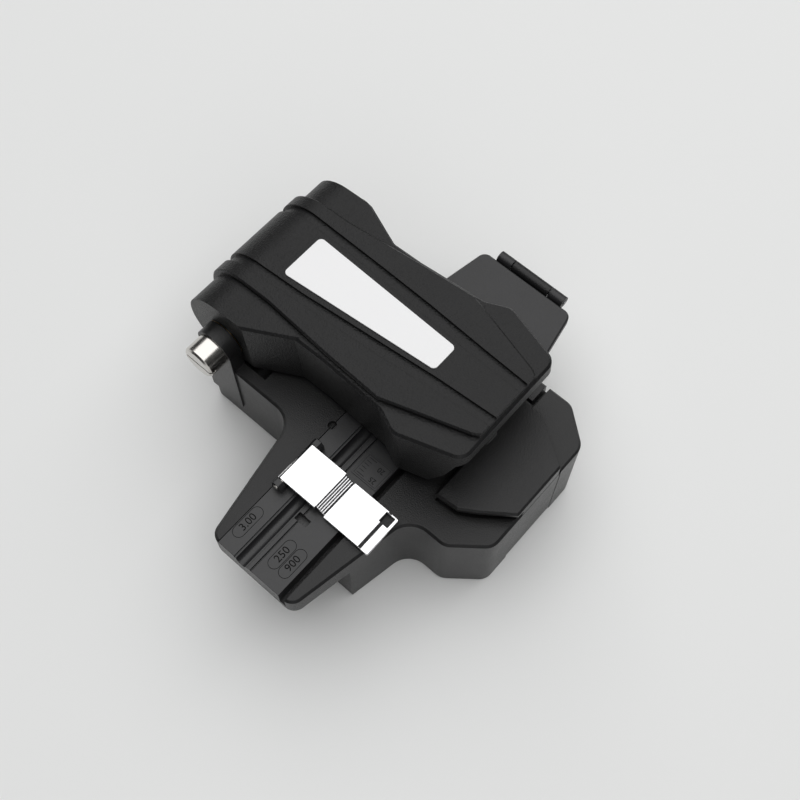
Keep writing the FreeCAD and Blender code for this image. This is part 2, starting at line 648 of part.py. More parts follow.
# ----------------------------------------------------------------- fibre holder
holder = Piece("fibre_holder")
holder_end = s.lower_block_outer + 0.2
holder.pad("XY_Plane", bed, s.deck_height, box_outline(
    -s.arm_reach, -holder_end, -s.holder_front, s.holder_rear - s.holder_seam))
lug_foot = s.deck_height - 0.5
lugs = [(-s.clamp_outer - 0.25 - s.clamp_lug, -s.clamp_outer - 0.25),
        (-s.clamp_inner + 0.25, -s.clamp_inner + 0.25 + s.clamp_lug)]
for near_side, far_side in lugs:
    holder.pad("YZ_Plane", near_side, far_side, [
        (s.clamp_pin_y - 1.5, lug_foot), (s.clamp_pin_y + 1.5, lug_foot),
        (s.clamp_pin_y + 1.5, clamp_pin_z + 0.4), (s.clamp_pin_y + 0.7, clamp_pin_z + 1.4),
        (s.clamp_pin_y - 0.7, clamp_pin_z + 1.4), (s.clamp_pin_y - 1.5, clamp_pin_z + 0.4),
    ])
holder.pocket("YZ_Plane", lugs[0][0], lugs[1][1],
              ("circle", s.clamp_pin_y, clamp_pin_z, s.clamp_pin_radius))
# stepped groove with a rounded seat for cable, shallow groove for coated fibre
seat = s.cable_seat / 2
seat_centre = s.deck_height - s.cable_sink
holder.pocket("YZ_Plane", -s.arm_reach, -holder_end, [
    (s.cable_line - s.cable_groove / 2, s.deck_height + 1),
    (s.cable_line - s.cable_groove / 2, s.deck_height - s.cable_ledge),
    (s.cable_line - seat, s.deck_height - s.cable_ledge), (s.cable_line - seat, seat_centre),
    (s.cable_line + seat, seat_centre), (s.cable_line + seat, s.deck_height - s.cable_ledge),
    (s.cable_line + s.cable_groove / 2, s.deck_height - s.cable_ledge),
    (s.cable_line + s.cable_groove / 2, s.deck_height + 1),
])
holder.pocket("YZ_Plane", -s.arm_reach, -holder_end,
              ("circle", s.cable_line, seat_centre, seat))
holder.pocket("YZ_Plane", -s.arm_reach, -holder_end, [
    (-s.fibre_groove / 2, s.deck_height + 1), (-s.fibre_groove / 2, s.deck_height),
    (-s.fibre_groove / 6, s.deck_height - s.fibre_depth),
    (s.fibre_groove / 6, s.deck_height - s.fibre_depth),
    (s.fibre_groove / 2, s.deck_height), (s.fibre_groove / 2, s.deck_height + 1),
])
pocket_left = -s.pocket_line - s.pocket_width / 2
pocket_right = -s.pocket_line + s.pocket_width / 2
holder.pocket("XY_Plane", s.deck_height - s.pocket_depth, s.deck_height + 1,
              box_outline(pocket_left, pocket_right, -s.pocket_seam, 1.35))
holder.pocket("XY_Plane", s.deck_height - s.pocket_shallow, s.deck_height + 1,
              box_outline(pocket_left + 0.1, pocket_right - 0.1, -2.35, -s.pocket_seam))
holder.pocket("XY_Plane", s.deck_height - 1.5, s.deck_height + 1, insert_notch)
magnet_radius = 2.0
magnet_x = -34.8
magnet_y = -6.0
holder.pocket("XY_Plane", s.deck_height - 2.5, s.deck_height + 1,
              ("circle", magnet_x, magnet_y, magnet_radius))
holder.pocket("XY_Plane", bed - 1, bed + 3.4, *[("circle", x, y, 1.1) for x, y in holder_screws])

holder_screw = Piece("holder_screws")
holder_screw.pad("XY_Plane", tray_foot + 0.1, tray_foot + s.screw_head,
                 ("circle", *holder_screws[0], s.screw_head_radius))
holder_screw.pad("XY_Plane", tray_foot + s.screw_head, bed + 3,
                 ("circle", *holder_screws[0], 1.05))
holder_screw.pad("XY_Plane", ceiling - s.screw_head, ceiling,
                 ("circle", *holder_screws[1], s.screw_head_radius))
holder_screw.pad("XY_Plane", ceiling, bed + 3, ("circle", *holder_screws[1], 1.05))

magnet = Piece("clamp_magnet")
magnet.pad("XY_Plane", s.deck_height - 2.5, s.deck_height - 0.1,
           ("circle", magnet_x, magnet_y, magnet_radius))

scale = Piece("scale_plate")
scale.pad("XY_Plane", s.deck_height, s.deck_height + 0.2,
          box_outline(-27.4, -20.8, -s.holder_front + 0.2, -1.0))

# ------------------------------------------------------------------ sheet clamp
clamp = Piece("clamp_plate")
rear_under = clamp_top - s.clamp_sheet
front_top = clamp_top - s.clamp_step
front_under = front_top - s.clamp_sheet
lip_top = front_top - 0.5
clamp.pad("YZ_Plane", -s.clamp_outer, -s.clamp_inner, [
    (s.clamp_pin_y, clamp_pin_z + s.clamp_eye_radius), (s.clamp_pin_y, rear_under),
    (-s.clamp_rear_leaf + 0.4, rear_under), (-s.clamp_front_leaf + 0.5, front_under),
    (-s.clamp_bend, front_under), (-s.clamp_bend - 0.9, lip_top - s.clamp_sheet),
    (-s.clamp_lip, lip_top - s.clamp_sheet), (-s.clamp_lip, lip_top),
    (-s.clamp_bend - 0.6, lip_top), (-s.clamp_bend + 0.3, front_top),
    (-s.clamp_front_leaf, front_top), (-s.clamp_rear_leaf, clamp_top),
])
clamp.pad("YZ_Plane", -s.clamp_outer, -s.clamp_inner,
          ("circle", s.clamp_pin_y, clamp_pin_z, s.clamp_eye_radius))
clamp.pocket("YZ_Plane", -s.clamp_outer, -s.clamp_inner,
             ("circle", s.clamp_pin_y, clamp_pin_z, s.clamp_pin_radius + s.running_fit))
# window in the bend before the lip, and notches beside the step
clamp.pocket("XY_Plane", front_under - 3, clamp_top + 1,
             box_outline(-s.clamp_inner - 3.2, -s.clamp_inner - 0.4, -16.9, -14.3))
notch = 0.5
for side, inward in ((-s.clamp_outer, 1), (-s.clamp_inner, -1)):
    corners = (side, side + notch * inward)
    low, high = corners if inward > 0 else corners[::-1]
    clamp.pocket("XY_Plane", front_under - 1, clamp_top + 1,
                 box_outline(low, high, -s.clamp_front_leaf, -s.clamp_rear_leaf))
clamp.soften("Fillet", 0.5, upright_at(
    (-s.clamp_outer, -s.clamp_lip), (-s.clamp_inner, -s.clamp_lip)))

clamp_pad = Piece("clamp_pad")
clamp_pad.pad("XY_Plane", front_under - 0.4, front_under, box_outline(
    -s.clamp_outer + 1.4, -s.clamp_inner - 1.4, -s.clamp_bend + 1.6, -s.clamp_front_leaf - 0.8))

clamp_pin = Piece("clamp_pin")
clamp_pin.pad("YZ_Plane", lugs[0][0] - 0.4, lugs[1][1] + 0.3,
              ("circle", s.clamp_pin_y, clamp_pin_z, s.clamp_pin_radius))
clamp_pin.soften("Chamfer", 0.2, lambda edge: near(edge.BoundBox.XMin, edge.BoundBox.XMax))

# ---------------------------------------------------- blade cover, corner cover
cover = Piece("blade_cover")
cover_plan = [
    (-s.cover_left, -s.cover_rear), (-s.cover_left + 0.5, -26.5), (-17.1, -30.2),
    (-s.cover_front_left, -s.front_side), (s.cover_front_right, -s.front_side),
    panel_seam[1], (s.cover_right, -s.panel_rear), (s.cover_right - 0.3, -s.cover_rear),
]
neck_top = cover_top - 1.5
neck_plan = [
    (-s.cover_left + s.cover_neck, -s.cover_rear), (-s.cover_left + 0.5 + s.cover_neck, -26.3),
    (-17.1 + s.cover_neck, -29.9), (-s.cover_front_left + s.cover_neck, -s.front_side),
] + cover_plan[4:]
cover.pad("XY_Plane", s.deck_height, neck_top, neck_plan)
cover.pad("XY_Plane", neck_top, cover_top, cover_plan)
cover.soften("Chamfer", 0.5, lambda edge: level_at(cover_top)(edge)
             and edge.CenterOfMass.x < s.cover_front_right.value)
cover.pocket("XY_Plane", s.deck_height - 1, cover_top - s.wall, box_outline(
    -s.channel_half, s.channel_half, -s.channel_front, -s.cover_rear + 1))

corner = Piece("front_panel")
corner.pad("XY_Plane", shell_foot, s.deck_height, [
    (5.0 + s.seam, -s.front_side), (s.right_side - s.corner_cut_x, -s.front_side),
    (s.right_side, -(s.front_side - s.corner_cut_y)), (s.right_side, -s.panel_rear - s.seam),
    (s.cover_right + s.seam, -s.panel_rear - s.seam),
    (panel_seam[1][0] + s.seam, panel_seam[1][1]),
])
corner.soften("Fillet", s.front_round, upright_at(
    (s.right_side - s.corner_cut_x, -s.front_side),
    (s.right_side, -(s.front_side - s.corner_cut_y))))
corner.soften("Chamfer", 0.5, lambda edge: level_at(s.deck_height)(edge)
              and (edge.BoundBox.YMax < -s.panel_rear.value - 0.5 or edge.BoundBox.XMin > 20)
              and edge.CenterOfMass.x > 13)
corner.pocket("XY_Plane", shell_foot - 1, s.deck_height - s.wall, [
    (4.0, -s.front_side + s.wall), (s.right_side - s.corner_cut_x - 0.9, -s.front_side + s.wall),
    (s.right_side - s.wall, -(s.front_side - s.corner_cut_y) + 0.7),
    (s.right_side - s.wall, -s.panel_rear + 1), (4.0, -s.panel_rear + 1),
])

# ----------------------------------------------------------------- lower clamps
def for_side(side):
    """Left or right, and the factor that puts a point on that side."""
    return ("left", -1) if side < 0 else ("right", 1)


block_top = pad_top - s.pad_thickness
for word, way in (for_side(-1), for_side(1)):
    inner, outer = s.block_inner * way, s.lower_block_outer * way
    block = Piece("lower_clamp_" + word)
    block.pad("XY_Plane", lower_block_foot, block_top,
              box_outline(inner, outer, -s.block_half, s.block_half))
    block.soften("Chamfer", 0.8, upright_at((inner, s.block_half), (inner, -s.block_half)))
    block.pocket("XY_Plane", lower_block_foot - 1, block_top + 1,
                 *[("circle", x, y, 1.1) for x, y in clamp_screws if x * way > 0])
    block.pocket("XY_Plane", block_top - 1.1, block_top + 1,
                 *[("circle", x, y, 1.9) for x, y in clamp_screws if x * way > 0])
    rubber = Piece("lower_pad_" + word)
    rubber.pad("XY_Plane", block_top, pad_top, box_outline(
        inner + s.pad_inset * way, inner + s.pad_far_edge * way, -s.block_half + 1, s.block_half - 1))

block_screw = Piece("lower_clamp_screws")
block_screw.pad("XY_Plane", block_top - 1.1, block_top - 0.05,
                *[("circle", x, y, 1.8) for x, y in clamp_screws])
block_screw.pad("XY_Plane", lower_block_foot - 5, block_top - 1.1,
                *[("circle", x, y, 0.9) for x, y in clamp_screws])

# ------------------------------------------------------ guide rail and carriage
rail = Piece("guide_rail")
rail_top = floor + s.rail_height
rail.pad("XY_Plane", floor, rail_top, box_outline(
    -s.rail_half, s.rail_half, -s.channel_front + 0.3, s.channel_rear - 0.3))
rail.soften("Chamfer", 0.4, level_at(rail_top))

carriage = Piece("blade_carriage")
back, ahead = s.blade_y + s.carriage_half_length, s.blade_y - s.carriage_half_length
carriage.pad("XY_Plane", s.carriage_foot, carriage_top,
             box_outline(-s.carriage_half, s.carriage_half, ahead, back))
carriage.soften("Fillet", 1.2, upright_at(
    (-s.carriage_half, ahead), (s.carriage_half, ahead),
    (-s.carriage_half, back), (s.carriage_half, back)))
blade_room = s.blade_thickness / 2 + 0.4
carriage.pad("XY_Plane", carriage_top - 0.5, fork_top, box_outline(
    blade_room - 0.1, blade_room + s.fork_thickness, s.blade_y - s.fork_half, s.blade_y + s.fork_half))
blade_z = pad_top - s.blade_radius
# slot that clears the lower half of the blade, groove that rides on the rail
carriage.pocket("YZ_Plane", -blade_room, blade_room,
                ("circle", s.blade_y, blade_z, s.blade_radius + 0.5))
carriage.pocket("XZ_Plane", ahead, back, box_outline(
    -s.rail_half - s.rail_fit, s.rail_half + s.rail_fit, s.carriage_foot - 1, rail_top + 0.15))
carriage.pocket("YZ_Plane", 0, 6, ("circle", s.blade_y, blade_z, 1.0))
spring_x = 4.95
spring_z = 10.0
spring_bore = 1.7
carriage.pocket("XZ_Plane", ahead, back - 1.4, ("circle", spring_x, spring_z, spring_bore))

blade = Piece("blade_wheel")
blade.pad("YZ_Plane", -s.blade_thickness / 2, s.blade_thickness / 2,
          ("circle", s.blade_y, blade_z, s.blade_radius),
          ("circle", s.blade_y, blade_z, s.blade_bore))
blade.soften("Chamfer", 0.5, lambda edge: edge.BoundBox.ZLength > 15)

screw = Piece("blade_screw")
screw.pad("YZ_Plane", -2.2, -s.blade_thickness / 2 - 0.05,
          ("circle", s.blade_y, blade_z, 2.7))
screw.pad("YZ_Plane", -s.blade_thickness / 2 - 0.1, s.blade_thickness / 2 + 0.1,
          ("circle", s.blade_y, blade_z, s.blade_bore - s.running_fit))
screw.pad("YZ_Plane", s.blade_thickness / 2, 3.0, ("circle", s.blade_y, blade_z, 1.0))
screw.pocket("YZ_Plane", -2.3, -1.5, box_outline(
    s.blade_y - 3, s.blade_y + 3, blade_z - 0.35, blade_z + 0.35))

spring = Piece("carriage_spring")
spring.pad("XZ_Plane", -s.channel_front, back - 1.5,
           ("circle", spring_x, spring_z, spring_bore - 0.15),
           ("circle", spring_x, spring_z, spring_bore - 0.65))

# ------------------------------------------------------------------- hinge axle
axle_end = right_ear_end + 2.2
axle = Piece("hinge_axle")
axle.pad("YZ_Plane", -left_ear - s.axle_head, -left_ear,
         ("circle", s.hinge_y, hinge_z, s.axle_head_radius))
axle.soften("Chamfer", 0.5, lambda edge: near(edge.BoundBox.XMax, -(left_ear + s.axle_head).value))
axle.pad("YZ_Plane", -left_ear, axle_end, ("circle", s.hinge_y, hinge_z, s.axle_radius))
clip_start = right_ear_end + 0.2
axle.pocket("YZ_Plane", clip_start, clip_start + 0.8,
            ("circle", s.hinge_y, hinge_z, s.axle_radius + 0.1),
            ("circle", s.hinge_y, hinge_z, s.axle_radius - 0.6))
axle.pocket("YZ_Plane", -left_ear - s.axle_head - 1, -left_ear - s.axle_head + 1.6, box_outline(
    s.hinge_y - 6, s.hinge_y + 6, hinge_z - 0.35, hinge_z + 0.35))

clip = Piece("axle_clip")
clip.pad("YZ_Plane", clip_start + 0.05, clip_start + 0.75,
         ("circle", s.hinge_y, hinge_z, s.axle_radius + 1.4),
         ("circle", s.hinge_y, hinge_z, s.axle_radius - 0.6))
clip.pocket("YZ_Plane", clip_start - 1, clip_start + 2, box_outline(
    s.hinge_y - 1.4, s.hinge_y + 1.4, hinge_z - 6, hinge_z))

# ------------------------------------------------------------------ lever shell
# Forward on the lever is -Y of its own frame.
lever = Piece("lever_shell").on_lever()
rear_round = s.barrel_radius + s.panel_rise
flute_outer = s.flute_rear + s.flute_width
lever.pad("YZ_Plane", -s.panel_rear_half, s.panel_rear_half, ("circle", 0, 0, rear_round))
for way in (-1, 1):
    near_edge, far_edge = s.flute_rear * way, flute_outer * way
    start, end = (near_edge, far_edge) if way > 0 else (far_edge, near_edge)
    lever.pocket("YZ_Plane", start, end, ("circle", 0, 0, rear_round + 1),
                 ("circle", 0, 0, rear_round - s.flute_depth))
lever.pad("YZ_Plane", -s.barrel_half, s.barrel_right, ("circle", 0, 0, s.barrel_radius))
front_wing = s.hip + s.wing_flare
wing_half = [
    (s.waist_half, -s.waist_start), (s.waist_half, -s.waist_middle), (s.hip_half, -s.hip),
    (s.front_wing_half, -front_wing), (s.nose_half, -s.lever_reach),
]
lever.pad("XY_Plane", -s.lever_skirt, s.barrel_radius, [
    (s.barrel_right, 0), (s.barrel_right, -s.rear_wing), *mirrored(wing_half),
    (-s.barrel_half, -s.rear_wing), (-s.barrel_half, 0),
])
for size, half, reach in (
        (s.wing_round, s.front_wing_half, front_wing), (s.hip_round, s.hip_half, s.hip),
        (s.hip_round, s.waist_half, s.waist_start), (s.nose_round, s.nose_half, s.lever_reach)):
    lever.soften("Fillet", size, upright_at((half, -reach), (-half, -reach)))
# the wings cut across the barrel: slanted in front, level below
for way, end in ((-1, s.barrel_half), (1, s.barrel_right)):
    lever.pocket("XY_Plane", -rear_round - 1, rear_round + 1, [
        ((end + 1) * way, -s.rear_wing), (end * way, -s.rear_wing),
        (s.waist_half * way, -s.waist_start), ((end + 1) * way, -s.waist_start)])
for low, high in ((-s.barrel_half, -s.panel_rear_half), (s.panel_rear_half, s.barrel_right)):
    lever.pocket("YZ_Plane", low, high, box_outline(
        -rear_round - 1, 4.0, -rear_round - 1, -s.lever_skirt))
# the nose slants back below the lip
lip_foot = s.barrel_radius - s.nose_lip
lever.pocket("YZ_Plane", -30, 30, [
    (-s.nose_skirt, -s.lever_skirt - 1), (-s.nose_skirt, -s.lever_skirt),
    (-s.nose_skirt - 4, 0.2), (-s.nose_skirt - 6.8, lip_foot - 1.2),
    (-s.lever_reach, lip_foot), (-s.lever_reach - 4, lip_foot), (-s.lever_reach - 4, -s.lever_skirt - 1),
])
lever.soften("Chamfer", 0.6, lambda edge: level_at(s.barrel_radius)(edge)
             and edge.CenterOfMass.y < -s.rear_wing.value)
# raised panel with its two long flutes
panel_half = [
    (s.panel_rear_half, 0), (s.panel_rear_half, -s.rear_wing), (16.0, -28),
    (s.panel_wide_half, -s.panel_wide), (s.panel_nose_half + 0.9, -66.4), (s.panel_nose_half, -s.panel_reach),
]
panel_top = rear_round
lever.pad("XY_Plane", s.barrel_radius - 0.2, panel_top, mirrored(panel_half))
lever.soften("Chamfer", 0.4, lambda edge: level_at(panel_top)(edge)
             and edge.CenterOfMass.y < -s.rear_wing.value and abs(edge.CenterOfMass.x) > 9)
for way in (-1, 1):
    lever.pocket("XY_Plane", panel_top - s.flute_depth, panel_top + 1, [
        (s.flute_rear * way, 0.2), (flute_outer * way, 0.2), (9.6 * way, -23), (8.8 * way, -38),
        (7.5 * way, -55), ((s.flute_nose + s.flute_width) * way, -s.panel_reach - 1),
        (s.flute_nose * way, -s.panel_reach - 1), (4.7 * way, -52), (5.9 * way, -36),
        (7.0 * way, -21), (7.6 * way, -13),
    ])
# hollow below, room for the hinge spring, bores for axle and bushes
lever_ceiling = s.barrel_radius - s.lever_top
inner_half = [
    (s.waist_half - s.lever_wall - 0.5, -s.cavity_rear), (s.waist_half - s.lever_wall, -s.waist_middle),
    (s.hip_half - s.lever_wall, -s.hip), (s.front_wing_half - s.lever_wall - 0.6, -front_wing),
    (s.nose_half, -s.cavity_front + 2),
]
lever.pocket("XY_Plane", -s.lever_skirt - 1, lever_ceiling, mirrored(inner_half))
spring_room = 8.0
lever.pocket("XY_Plane", -rear_round - 1, 7.0, box_outline(-spring_room, spring_room, -9.5, 8.0))
lever.pocket("YZ_Plane", -s.barrel_half, s.barrel_right, ("circle", 0, 0, s.axle_radius + 0.3))
flange_radius = 5.2
flange = 1.0
barrel_ends = {-1: s.barrel_half, 1: s.barrel_right}
for way in (-1, 1):
    face, bottom = barrel_ends[way] * way, (barrel_ends[way] - s.bush_length) * way
    step = (barrel_ends[way] - flange) * way
    low, high = (bottom, face) if way > 0 else (face, bottom)
    lever.pocket("YZ_Plane", low, high, ("circle", 0, 0, s.bush_radius))
    low, high = (step, face) if way > 0 else (face, step)
    lever.pocket("YZ_Plane", low, high, ("circle", 0, 0, flange_radius))

for word, way in (for_side(-1), for_side(1)):
    bush = Piece("hinge_bush_" + word).on_lever()
    face, step = barrel_ends[way] * way, (barrel_ends[way] - flange) * way
    bottom = (barrel_ends[way] - s.bush_length) * way
    bore = ("circle", 0, 0, s.axle_radius + s.running_fit)
    low, high = (bottom, face) if way > 0 else (face, bottom)
    bush.pad("YZ_Plane", low, high, ("circle", 0, 0, s.bush_radius), bore)
    low, high = (step, face) if way > 0 else (face, step)
    bush.pad("YZ_Plane", low, high, ("circle", 0, 0, flange_radius), bore)

label = Piece("lever_label").on_lever()
label.pad("XY_Plane", panel_top, panel_top + s.label_thickness, mirrored([
    (s.label_rear_half, -s.label_rear), (s.label_front_half, -s.label_front)]))
label.soften("Fillet", s.label_round, lambda edge: edge.BoundBox.ZLength > 0.2)

# torsion spring round the axle: closed coils as one sleeve, with one straight leg
wire = 0.45
coil_radius = 4.2
coil_half = 6.4
leg_reach = 14.0
lever.pocket("XY_Plane", -rear_round - 1, coil_radius + wire + 0.4, box_outline(
    coil_half - 1.6, coil_half + 0.4, -leg_reach - 1.0, 0))
lever_spring = Piece("torsion_spring").on_lever()
lever_spring.pad("YZ_Plane", -coil_half, coil_half, ("circle", 0, 0, coil_radius + wire),
                 ("circle", 0, 0, coil_radius - wire))
lever_spring.pad("XZ_Plane", -leg_reach, 0, ("circle", coil_half - 2 * wire, coil_radius, 0.9 * wire))

# ------------------------------------------------ clamps and anvil in the lever
clamp_line = s.hinge_y
chassis_foot = lever_ceiling - s.chassis_thickness
chassis = Piece("lever_chassis").on_lever()
chassis.pad("XY_Plane", chassis_foot, lever_ceiling, mirrored([
    (s.chassis_half, -s.chassis_rear), (s.chassis_half, -s.chassis_front + 4),
    (s.chassis_half - 4, -s.chassis_front)]))
post_x = 8.0
post_radius = 1.5
posts = [(-post_x, -clamp_line), (post_x, -clamp_line)]
chassis.pocket("XY_Plane", chassis_foot - 1, lever_ceiling + 1,
               *[("circle", x, y, post_radius) for x, y in posts])
chassis_screws = [(0, -21.5), (-7.0, -53.5), (7.0, -53.5)]
chassis.pocket("XY_Plane", chassis_foot - 1, lever_ceiling + 1,
               *[("circle", x, y, 1.15) for x, y in chassis_screws])
lever.pocket("XY_Plane", lever_ceiling - 0.5, lever_ceiling + 1.5,
             *[("circle", x, y, 1.05) for x, y in chassis_screws])

chassis_screw = Piece("chassis_screws").on_lever()
chassis_screw.pad("XY_Plane", chassis_foot - s.screw_head, chassis_foot,
                  *[("circle", x, y, s.screw_head_radius) for x, y in chassis_screws])
chassis_screw.pad("XY_Plane", chassis_foot, lever_ceiling + 1.4,
                  *[("circle", x, y, 1.05) for x, y in chassis_screws])

# level of the upper pads, reckoned with the lever down
upper_pad_foot = pad_top + s.pad_gap - hinge_z
upper_block_foot = upper_pad_foot + s.pad_thickness
yoke_foot = upper_block_foot + 6.0
yoke_top = yoke_foot + 1.6
post_foot = yoke_foot - 4.0
guide_posts = Piece("guide_posts").on_lever()
guide_posts.pad("XY_Plane", post_foot, lever_ceiling - 0.05,
                *[("circle", x, y, post_radius - 0.01) for x, y in posts])
guide_posts.pad("XY_Plane", post_foot - 0.5, post_foot,
                *[("circle", x, y, post_radius + 0.7) for x, y in posts])

yoke = Piece("clamp_yoke").on_lever()
yoke.pad("XY_Plane", yoke_foot, yoke_top, box_outline(
    -s.upper_block_outer, s.upper_block_outer, -clamp_line - s.block_half, -clamp_line + s.block_half))
window = s.anvil_half_length + 0.8
yoke.pocket("XY_Plane", yoke_foot - 1, yoke_top + 1, box_outline(
    -s.anvil_half - 0.8, s.anvil_half + 0.8, -clamp_line - window, -clamp_line + window))
yoke.pocket("XY_Plane", yoke_foot - 1, yoke_top + 1,
            *[("circle", x, y, post_radius + s.running_fit) for x, y in posts])

for word, way in (for_side(-1), for_side(1)):
    inner, outer = s.block_inner * way, s.upper_block_outer * way
    block = Piece("upper_clamp_" + word).on_lever()
    block.pad("XY_Plane", upper_block_foot, yoke_foot, box_outline(
        inner, outer, -clamp_line - s.block_half, -clamp_line + s.block_half))
    block.soften("Chamfer", 0.8, upright_at(
        (outer, -clamp_line + s.block_half), (outer, -clamp_line - s.block_half)))
    room = post_radius + 1.3
    block.pocket("XY_Plane", post_foot - 3.2, yoke_foot + 1, ("circle", post_x * way, -clamp_line, room))
    rubber = Piece("upper_pad_" + word).on_lever()
    rubber.pad("XY_Plane", upper_pad_foot, upper_block_foot, box_outline(
        inner + s.pad_inset * way, inner + s.pad_far_edge * way,
        -clamp_line - s.block_half + 1, -clamp_line + s.block_half - 1))

yoke_spring = Piece("yoke_springs").on_lever()
yoke_spring.pad("XY_Plane", yoke_top, chassis_foot,
                *[("circle", x, y, post_radius + 0.9) for x, y in posts])
yoke_spring.pocket("XY_Plane", yoke_top - 1, chassis_foot + 1,
                   *[("circle", x, y, post_radius + 0.35) for x, y in posts])

anvil_foot = upper_pad_foot + 0.3
anvil = Piece("anvil").on_lever()
anvil.pad("XY_Plane", anvil_foot, chassis_foot, box_outline(
    -s.anvil_half, s.anvil_half, -clamp_line - s.anvil_half_length, -clamp_line + s.anvil_half_length))
anvil.soften("Chamfer", 0.6, lambda edge: level_at(anvil_foot)(edge) and edge.BoundBox.YLength > 2)

bumper = Piece("lever_bumper").on_lever()
bumper_foot = between(ZERO + 0.2, lip_foot - 1.2, 0.25)
bumper.pad("YZ_Plane", -6.6, -2.2, [
    (-s.nose_skirt - 4.7, bumper_foot), (-s.nose_skirt - 6.8, bumper_foot),
    (-s.nose_skirt - 7.4, bumper_foot + 0.6), (-s.nose_skirt - 7.4, lip_foot - 0.8),
    (-s.nose_skirt - 6.8, lip_foot - 1.2),
])
bumper.soften("Fillet", 1.2, lambda edge: edge.BoundBox.ZLength > 3
              and near(edge.BoundBox.YMin, edge.BoundBox.YMax))

# -------------------------------------------------------------------- scrap bin
bin_start = s.right_side + s.bin_gap
rim = lid_top - s.lid_thickness - 0.3
rim_end = s.lid_edge - s.lid_overhang
rim_inner_half = s.lid_inner_half - s.lid_overhang
rim_outer_half = s.lid_outer_half - s.lid_overhang
bin_body = Piece("bin_body")
bin_body.pad("XY_Plane", s.bin_foot, rim, [
    (bin_start, -rim_inner_half), (rim_end, -rim_outer_half),
    (rim_end, rim_outer_half), (bin_start, rim_inner_half)])
bin_body.draft(s.bin_taper, lambda face: near(face.BoundBox.ZMin, rim.value),
               lambda face: face.BoundBox.ZLength > 5 and face.BoundBox.XMax > bin_start.value + 1)
bin_body.soften("Fillet", 3.0, lambda edge: edge.BoundBox.ZLength > 15
                and edge.CenterOfMass.x > bin_start.value + 5)
bin_body.soften("Fillet", 2.2, lambda edge: level_at(s.bin_foot)(edge)
                and edge.BoundBox.XMax > bin_start.value + 0.5)
bin_body.hollow(s.bin_wall, lambda face: near(face.BoundBox.ZMin, rim.value))
leaf_foot = rim - 2.0
bin_body.pocket("XY_Plane", leaf_foot, rim + 1, box_outline(
    rim_end - s.bin_wall, rim_end + 1, -s.knuckle_inner, s.knuckle_inner))
bin_body.pad("YZ_Plane", bin_start - peg_length, bin_start + 1,
             ("circle", -peg_y, peg_z, peg_radius), ("circle", peg_y, peg_z, peg_radius))

# hinge leaf, set in a notch of the bin's rim
leaf = Piece("bin_hinge_leaf")
leaf.pad("XZ_Plane", -s.knuckle_inner, s.knuckle_inner, [
    (rim_end - s.bin_wall, leaf_foot), (s.lid_hinge_x - 1.0, leaf_foot),
    (s.lid_hinge_x + s.knuckle_radius, rim - 1.0), (s.lid_hinge_x + s.knuckle_radius, lid_hinge_z),
    (s.lid_hinge_x - 1.0, lid_hinge_z), (s.lid_hinge_x - 1.0, rim), (rim_end - s.bin_wall, rim)])
leaf.pad("XZ_Plane", -s.knuckle_inner, s.knuckle_inner,
         ("circle", s.lid_hinge_x, lid_hinge_z, s.knuckle_radius))
leaf.pocket("XZ_Plane", -s.knuckle_inner, s.knuckle_inner,
            ("circle", s.lid_hinge_x, lid_hinge_z, s.lid_pin_radius))

lid = Piece("bin_lid")
lid_foot = lid_top - s.lid_thickness
lid.pad("XY_Plane", lid_foot, lid_top, [
    (bin_start, -s.lid_inner_half), (28.2, -16.2), (s.lid_edge, -s.lid_outer_half),
    (s.lid_edge, s.lid_outer_half), (28.2, 16.2), (bin_start, s.lid_inner_half),
])
lid.soften("Fillet", s.lid_round, upright_at(
    (s.lid_edge, -s.lid_outer_half), (s.lid_edge, s.lid_outer_half)))
lid.soften("Chamfer", 0.4, level_at(lid_top))
knuckle_start = s.knuckle_inner + s.knuckle_gap
for low, high in ((knuckle_start, s.knuckle_outer), (-s.knuckle_outer, -knuckle_start)):
    lid.pad("XY_Plane", lid_foot, lid_hinge_z, box_outline(
        s.lid_edge - 1.5, s.lid_hinge_x, low, high))
    lid.pad("XZ_Plane", low, high, ("circle", s.lid_hinge_x, lid_hinge_z, s.knuckle_radius))
lid.pocket("XZ_Plane", -s.knuckle_outer, s.knuckle_outer,
           ("circle", s.lid_hinge_x, lid_hinge_z, s.lid_pin_radius + s.running_fit))

lid_pin = Piece("bin_hinge_pin")
lid_pin.pad("XZ_Plane", -s.knuckle_outer - 0.2, s.knuckle_outer + 0.2,
            ("circle", s.lid_hinge_x, lid_hinge_z, s.lid_pin_radius))

# ------------------------------------------------------------- check and export
doc.recompute()
for item in doc.Objects:
    if "Invalid" in item.State or "Error" in item.State:
        raise RuntimeError("%s did not compute: %s" % (item.Name, item.State))
os.makedirs("parts", exist_ok=True)
for body in PARTS:
    if body.Shape.isNull() or not body.Shape.isValid():
        raise RuntimeError("%s has no valid shape" % body.Label)
    body.Shape.exportStep("parts/%s.step" % body.Label)
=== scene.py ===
from math import cos, pi, radians, sin

import bmesh
import bpy
from mathutils import Matrix, Vector


